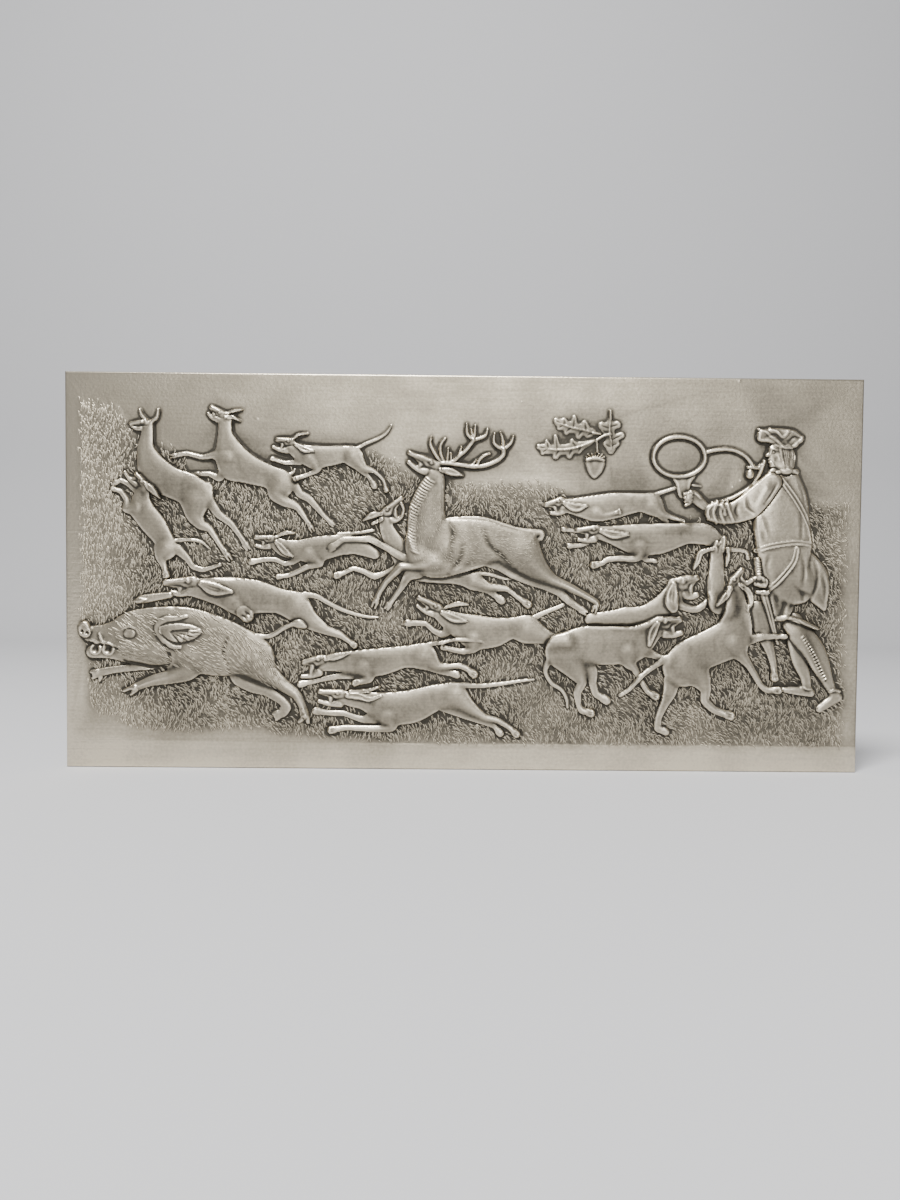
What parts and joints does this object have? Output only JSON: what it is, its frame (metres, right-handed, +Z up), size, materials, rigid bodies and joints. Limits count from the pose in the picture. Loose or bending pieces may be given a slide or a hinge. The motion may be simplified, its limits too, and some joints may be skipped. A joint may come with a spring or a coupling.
{
  "type": "relief plaque",
  "caption": "Rectangular cast metal wall plaque with a hunting scene in low relief: huntsman with a horn, stag, boar, hinds and running hounds on grass.",
  "frame": {"origin": "centre of the flat back, where the plaque meets the wall", "axes": "+X along the plaque's length to the viewer's right, +Z up, +Y into the wall; the relief faces -Y"},
  "size_m": [0.4, 0.0079, 0.1986],
  "materials": {
    "pewter": "satin cast tin alloy, warm grey, darkened in the hollows and rubbed bright on the high edges"
  },
  "bodies": {
    "root": {"plaque": "pewter"}
  },
  "joints": []
}
